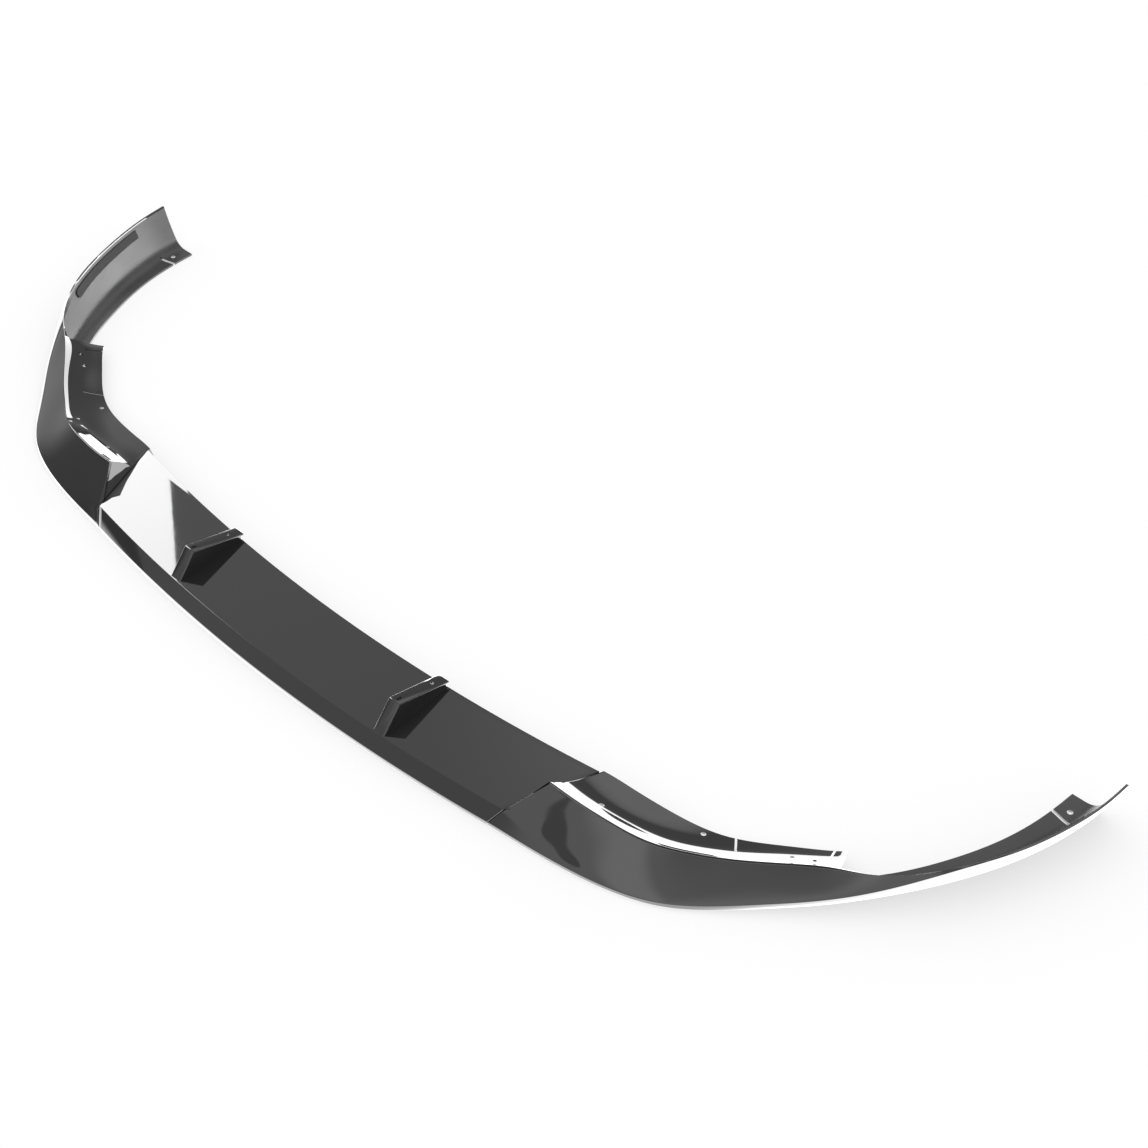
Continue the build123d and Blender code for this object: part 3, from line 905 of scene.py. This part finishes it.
def blade_lines(turn):
    """Outer and inner lines of the blade's section at angles about the axis of the front edge."""
    turn = np.asarray(turn, float)
    line = np.array([[
        (FLANGE_WIDTH, 0.0),
        (0.0, 0.0),
        (0.0, LIP_HEIGHT),
        (CREASE_INSET, CREASE_HEIGHT),
        (BLADE_ROLL_START, BLADE_REAR_HEIGHT - BLADE_ROLL_RISE),
        (BLADE_DEPTH, BLADE_REAR_HEIGHT),
    ]])

    def rounding(detail, crease):
        amounts = np.array([[BLADE_FOOT_EDGE], [BLADE_LIP_EDGE], [crease], [BLADE_LIFT_EDGE]])
        points = [max(LEAST_POINTS, round(detail * count)) for count in BLADE_POINTS]
        return list(zip(amounts, amounts, points))

    outer, outer_starts = rounded(line, rounding(1, BLADE_CREASE_EDGE), BLADE_SHARES)
    inner = inset(line[:, 1:], WALL)
    inner[:, 0] = (WALL, WALL)
    inner = np.concatenate([[[(FLANGE_WIDTH, WALL)]], inner], axis=1)
    inner, _ = rounded(inner, rounding(INNER_DETAIL, BLADE_INNER_EDGE), BLADE_INNER_SHARES)
    placed = []
    for lines in (outer, inner):
        radius = FRONT_RADIUS - lines[0, :, 0]
        x = radius[None] * np.sin(turn)[:, None]
        y = FRONT_Y + FRONT_RADIUS - radius[None] * np.cos(turn)[:, None]
        placed.append(np.stack([x, y, np.tile(lines[0, :, 1], (len(turn), 1))], axis=2))
    return placed[0], outer_starts, placed[1]


def fin_outline():
    """Side of a fin as (distance behind the front edge, height), sunk into the blade."""
    under = FIN_REAR_HEIGHT - WALL
    foot = BLADE_DEPTH - FIN_REAR_SUNK
    return [
        (FIN_FRONT_INSET - FIN_SUNK / FIN_SLOPE, CREASE_HEIGHT - FIN_SUNK),
        (FIN_TOP_INSET, FIN_TOP_HEIGHT),
        (FIN_REAR, FIN_REAR_HEIGHT),
        (FIN_REAR, under),
        (foot, under),
        (foot, BLADE_REAR_HEIGHT - FIN_SUNK),
        (BLADE_ROLL_START, BLADE_REAR_HEIGHT - BLADE_ROLL_RISE - FIN_SUNK),
    ]


def fin_pocket():
    """Side of the hollow under a fin."""
    fall = (FIN_TOP_HEIGHT - FIN_REAR_HEIGHT) / (FIN_REAR - FIN_TOP_INSET)
    end = BLADE_DEPTH - WALL
    bottom = CREASE_HEIGHT - 2 * WALL
    ahead = WALL * math.hypot(1, FIN_SLOPE) / FIN_SLOPE
    front = FIN_FRONT_INSET + ahead - (CREASE_HEIGHT - bottom) / FIN_SLOPE
    top = FIN_TOP_INSET + ahead / 2
    return [
        (front, bottom),
        (top, FIN_TOP_HEIGHT - WALL - fall * ahead / 2),
        (end, FIN_TOP_HEIGHT - WALL - fall * (end - FIN_TOP_INSET)),
        (end, bottom),
    ]


def fin_solids(side):
    """Wedge of a fin, and the hollow, hole and slot cut from it."""
    x = side * FIN_SPACING / 2
    y = FRONT_Y + FRONT_RADIUS - math.sqrt(FRONT_RADIUS**2 - x**2)

    def across(width):
        return lambda p, end: (x + (end - 0.5) * width, y + p[0], p[1])

    wedge = prism("fin", fin_outline(), across(FIN_WIDTH))
    bevel(wedge, FIN_EDGE, FIN_EDGE_SEGMENTS)
    pocket = prism("pocket", fin_pocket(), across(FIN_WIDTH - 2 * WALL))
    hole_place = (x, y + FIN_REAR - FIN_HOLE_FROM_REAR)
    hole_reach = (FIN_HOLE_LOW, FIN_CUT_TOP)
    hole = cylinder("fin_hole", hole_place, FIN_HOLE_RADIUS, *hole_reach, FIN_HOLE_SIDES)
    slot_place = (x, y + FIN_TOP_INSET + FIN_SLOT_FROM_FRONT)
    slot_size = (FIN_SLOT_LENGTH, FIN_SLOT_WIDTH)
    cut = slot("fin_slot", slot_place, FIN_SLOT_HEADING, *slot_size, FIN_SLOT_LOW, FIN_CUT_TOP)
    return wedge, [pocket, hole, cut]


def blade(name):
    """Centre blade, made as its left half and mirrored, with its fins."""
    widest = math.asin((SEAM_X + BLADE_DEPTH) / FRONT_RADIUS)
    merge = math.asin(BLADE_END_SHARE * SEAM_X / FRONT_RADIUS)
    at = np.linspace(0.0, 1.0, BLADE_LINES)
    outer, outer_starts, inner = blade_lines(widest + at * (merge - widest))
    total = outer.shape[1]
    depth = column_values(outer_starts, total, BLADE_SEAM_DEPTH)
    roll = column_values(outer_starts, total, BLADE_SEAM_WIDTH)
    outer_rows, inner_rows, front_down, back_down = seam_end(
        outer, inner, at, -1.0, depth, roll, BLADE_TURNS, BLADE_SEAM_ROWS)
    more_outer, _, more_inner = blade_lines(np.linspace(merge, 0.0, BLADE_ROWS)[1:])
    surface = Surface()
    outer = surface.rows(outer_rows + list(more_outer))
    inner = surface.rows(inner_rows + list(more_inner))
    surface.grid(outer, OUTSIDE)
    surface.grid(inner, INSIDE)
    body = outer[BLADE_TURNS:]
    surface.grid(np.stack([body[:, 0], inner[:, 0]], axis=1), INSIDE)
    surface.grid(np.stack([body[:, -1], inner[:, -1]], axis=1), OUTSIDE)
    close_seam(surface, outer, inner, BLADE_TURNS, front_down, back_down)
    made = mesh_object(name, surface, weld=True)
    give(made, GLOSS, SATIN)
    wedges, cuts = [], []
    for side in (-1, 1):
        wedge, cut = fin_solids(side)
        wedges.append(wedge)
        cuts += cut
    holes = bolt_cutters()
    for hole in bolt_cutters():
        mirror_solid(hole)
        holes.append(hole)
    combine(made, wedges, "UNION")
    combine(made, cuts + holes, "DIFFERENCE")
    smooth(made, SMOOTH_ANGLE)
    return made


# Grip strips on the inner faces of the tail walls
STRIP_ROWS = 330
STRIP_COLUMNS = 30
STRIP_SMOOTH_ANGLE = 50.0


def strip(name, mirrored):
    """Strip with a cut hatch on the left tail wall, or its mirror image for the right one."""
    tail_start = SEAM_Y + HOOD[-1].back
    strip_rear = REAR_Y - STRIP_TO_REAR
    shares = [(y - tail_start) / tail_length for y in (strip_rear - STRIP_LENGTH, strip_rear)]
    known = np.concatenate([[0.0], tail_along])
    ends = np.interp(shares, known, KNOTS[len(HOOD) - 1:])
    rows = np.linspace(ends[0], ends[1], STRIP_ROWS)
    _, _, inner, starts = corner_lines(rows)
    wall = inner[:, starts[FOOT_CORNER]:starts[LAND_CORNER] + 1][:, ::-1]
    across = np.linspace(0, STRIP_WIDTH, STRIP_COLUMNS)
    front_rows, back_rows = [], []
    gone = np.linspace(0, STRIP_LENGTH, len(rows))
    base = STRIP_GAP + STRIP_THICKNESS - STRIP_RIDGE
    middle = wall[:, len(wall[0]) // 2]
    along_wall = np.gradient(middle, axis=0)
    for i, line in enumerate(wall):
        run = np.concatenate([[0.0], np.cumsum(np.linalg.norm(np.diff(line, axis=0), axis=1))])
        edge = min(gone[i], STRIP_END_RADIUS)
        cut = STRIP_END_RADIUS - math.sqrt(STRIP_END_RADIUS**2 - (STRIP_END_RADIUS - edge)**2)
        width = cut + (across / STRIP_WIDTH) * (STRIP_WIDTH - 2 * cut)
        places = STRIP_BELOW_TOP + width
        spot = np.stack([np.interp(places, run, line[:, axis]) for axis in range(3)], axis=1)
        down = np.gradient(spot, axis=0)
        out = np.cross(along_wall[i], down)
        out /= np.linalg.norm(out, axis=1)[:, None]
        if out[0, 0] > 0:
            out = -out
        rising = np.sin(math.pi * (gone[i] + width) / STRIP_PITCH)
        falling = np.sin(math.pi * (gone[i] - width) / STRIP_PITCH)
        height = base + STRIP_RIDGE * np.abs(rising * falling)
        height[0] = height[-1] = base
        back_rows.append(spot + out * STRIP_GAP)
        front_rows.append(spot + out * height[:, None])
    surface = Surface()
    front = surface.rows(front_rows)
    rear = surface.rows(back_rows)
    surface.grid(front, OUTSIDE)
    surface.grid(rear, OUTSIDE)
    for column in (0, -1):
        surface.grid(np.stack([front[:, column], rear[:, column]], axis=1), OUTSIDE)
    for row in (0, -1):
        surface.grid(np.stack([front[row], rear[row]], axis=0), OUTSIDE)
    made = mesh_object(name, surface, mirrored)
    give(made, RUBBER)
    smooth(made, STRIP_SMOOTH_ANGLE)
    return made


pieces = {"centre_blade": blade("blade_moulding")}
for side, mirrored in (("left", False), ("right", True)):
    pieces[f"{side}_corner"] = corner(f"{side}_corner_moulding", mirrored)
    pieces[f"{side}_grip_strip"] = strip(f"{side}_hatched_strip", mirrored)
for node, piece in pieces.items():
    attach(piece, "root")
    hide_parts(node)

for side in ("left", "right"):
    for kind in ("seam_bolts", "seam_nuts"):
        give(bpy.data.objects[f"{side}_{kind}"], STEEL)


# Floor, light and camera, in metres and degrees
FLOOR_REACH = 14.0
FLOOR_COLOUR = 0.43
ROOM_LIGHT = 1.0
ROOM_LOW, ROOM_HIGH = 0.45, 0.56
FLOOR_WHITE = 0.58
# Painted reflection: glow of the floor seen only in reflections, inside an oval, and painted shade:
# its darker colour in reflections outside the oval
FLOOR_REFLECTION_GLOW = 3.2
FLOOR_REFLECTION_DARK = 0.17
SHINE_CENTRE = (-0.12, 0.42)
SHINE_REACH = (1.22, 1.06)
SHINE_EDGE = (0.6, 1.2)
ROOM_RISE = 0.7
SENSOR = 36.0
FOCAL_PIXELS, FRAME_PIXELS = 1940.0, 1148.0
CAMERA_PLACE = (1.46365, -1.218965, 1.68537)
CAMERA_DOWN, CAMERA_TURN = 41.68, 44.13

# Soft light and dark places of the room, as (heading, height, full within, gone beyond, level)
ROOM_PLACES = [
    (207.0, 12.0, 6.0, 22.0, -0.26),
    (184.0, 10.0, 5.0, 16.0, 0.12),
    (120.0, 20.0, 10.0, 30.0, -0.25),
    (268.0, 42.0, 14.0, 36.0, 0.3),
    (253.6, 38.0, 1.9, 2.5, -0.45),
    (273.0, 48.0, 4.0, 13.0, 0.45),
    (115.0, 48.0, 8.0, 22.0, 0.5),
    (312.0, 30.0, 10.0, 32.0, 0.45),
]

# Bright panels that show only in the gloss, as (name, place, size, brightness, heading, roll)
PANELS = [
    ("window", (-2.5, 0.092, 2.086), (1.44, 1.9), 6.8, 0.0, -12.8),
    ("skirting", (-1.6, 2.0, 0.194), (1.0, 0.66), 4.0, -90.0, -16.0),
    ("kerb", (-1.5, 1.1, 0.05), (1.2, 0.1), 4.0, -90.0, 0.0),
    ("wall_card", (-0.56, 0.62, 0.15), (0.26, 0.26), 9.0, 237.0, 0.0),
]


def calculate(nodes, links, operation, *values):
    """Result of an operation on numbers and on the outputs of other nodes."""
    node = nodes.new("ShaderNodeMath")
    node.operation = operation
    for socket, value in zip(node.inputs, values):
        if isinstance(value, (int, float)):
            socket.default_value = value
        else:
            links.new(value, socket)
    return node.outputs[0]


def fade(nodes, links, source, start, end, low, high):
    """Number that runs smoothly from low to high as the source runs from start to end."""
    node = add(nodes, "ShaderNodeMapRange", From_Min=start, From_Max=end, To_Min=low, To_Max=high)
    node.interpolation_type = "SMOOTHSTEP"
    links.new(source, node.inputs["Value"])
    return node.outputs["Result"]


def floor():
    """Pale floor. Painted reflection: in reflections it glows bright inside the lip's curve, and
    further out it is painted dark.
    """
    mesh = bpy.data.meshes.new("floor")
    corners = [(-1, -1), (1, -1), (1, 1), (-1, 1)]
    points = [(FLOOR_REACH * x, FLOOR_REACH * y, 0) for x, y in corners]
    mesh.from_pydata(points, [], [(0, 1, 2, 3)])
    made = bpy.data.objects.new("floor", mesh)
    bpy.context.scene.collection.objects.link(made)
    material, nodes, links, shader = new_material("pale_floor")
    shader.inputs["Roughness"].default_value = 0.9
    shader.inputs["Specular IOR Level"].default_value = 0.0
    shader.inputs["Emission Color"].default_value = (1, 1, 1, 1)
    path = nodes.new("ShaderNodeLightPath")
    place = nodes.new("ShaderNodeTexCoord")
    centre = [-at / reach for at, reach in zip(SHINE_CENTRE, SHINE_REACH)]
    scale = [1 / reach for reach in SHINE_REACH]
    oval = add(nodes, "ShaderNodeMapping", Location=(*centre, 0.0), Scale=(*scale, 1.0))
    links.new(place.outputs["Object"], oval.inputs["Vector"])
    away = nodes.new("ShaderNodeVectorMath")
    away.operation = "LENGTH"
    links.new(oval.outputs["Vector"], away.inputs[0])
    near = fade(nodes, links, away.outputs["Value"], *SHINE_EDGE, 1.0, 0.0)
    # Painted reflection: the floor glows for glossy rays only, within the oval
    shown = calculate(nodes, links, "MULTIPLY", path.outputs["Is Glossy Ray"], near)
    white = calculate(nodes, links, "MULTIPLY", path.outputs["Is Camera Ray"], FLOOR_WHITE)
    strength = calculate(nodes, links, "MULTIPLY_ADD", shown, FLOOR_REFLECTION_GLOW, white)
    links.new(strength, shader.inputs["Emission Strength"])
    # Painted shade in reflections: outside the oval, glossy rays see a darker floor colour
    far = calculate(nodes, links, "SUBTRACT", path.outputs["Is Glossy Ray"], shown)
    tone = calculate(nodes, links, "MULTIPLY_ADD", far, FLOOR_REFLECTION_DARK - FLOOR_COLOUR, FLOOR_COLOUR)
    links.new(tone, shader.inputs["Base Color"])
    made.data.materials.append(material)


def panel(name, place, size, brightness, heading, roll):
    """Upright bright panel that faces along its heading and leans sideways by its roll."""
    lamp = bpy.data.lights.new(name, "AREA")
    lamp.shape = "RECTANGLE"
    lamp.size, lamp.size_y = size
    lamp.energy = brightness * math.pi * size[0] * size[1]
    made = bpy.data.objects.new(name, lamp)
    made.location = place
    upright = Matrix.Rotation(math.radians(90), 3, "X")
    facing = Matrix.Rotation(math.radians(heading - 90), 3, "Z") @ upright
    made.rotation_euler = (facing @ Matrix.Rotation(math.radians(roll), 3, "Z")).to_euler()
    made.visible_camera = False
    made.visible_diffuse = False
    bpy.context.scene.collection.objects.link(made)


def world():
    """Even light from all sides, which in reflections is a room with light and dark places."""
    made = bpy.data.worlds.new("studio")
    bpy.context.scene.world = made
    made.use_nodes = True
    nodes, links = made.node_tree.nodes, made.node_tree.links
    background = nodes["Background"]
    background.inputs["Color"].default_value = (1, 1, 1, 1)
    path = nodes.new("ShaderNodeLightPath")
    place = nodes.new("ShaderNodeTexCoord")
    parts = nodes.new("ShaderNodeSeparateXYZ")
    links.new(place.outputs["Generated"], parts.inputs["Vector"])
    level = fade(nodes, links, parts.outputs["Z"], 0.0, ROOM_RISE, ROOM_LOW, ROOM_HIGH)
    for heading, height, full, gone, change in ROOM_PLACES:
        turn, lift = math.radians(heading), math.radians(height)
        toward_place = nodes.new("ShaderNodeVectorMath")
        toward_place.operation = "DOT_PRODUCT"
        toward_place.inputs[1].default_value = (
            math.cos(lift) * math.cos(turn), math.cos(lift) * math.sin(turn), math.sin(lift))
        links.new(place.outputs["Generated"], toward_place.inputs[0])
        start, end = math.cos(math.radians(gone)), math.cos(math.radians(full))
        spot = fade(nodes, links, toward_place.outputs["Value"], start, end, 0.0, 1.0)
        level = calculate(nodes, links, "MULTIPLY_ADD", spot, change, level)
    shown = calculate(nodes, links, "SUBTRACT", level, ROOM_LIGHT)
    glossy = path.outputs["Is Glossy Ray"]
    strength = calculate(nodes, links, "MULTIPLY_ADD", glossy, shown, ROOM_LIGHT)
    links.new(strength, background.inputs["Strength"])


def camera():
    made = bpy.data.objects.new("camera", bpy.data.cameras.new("camera"))
    made.data.sensor_width = SENSOR
    made.data.lens = SENSOR * FOCAL_PIXELS / FRAME_PIXELS
    made.location = CAMERA_PLACE
    made.rotation_euler = (math.radians(90 - CAMERA_DOWN), 0, math.radians(CAMERA_TURN))
    bpy.context.scene.collection.objects.link(made)
    bpy.context.scene.camera = made


floor()
world()
for values in PANELS:
    panel(*values)
camera()
bpy.context.scene.view_settings.view_transform = "Standard"
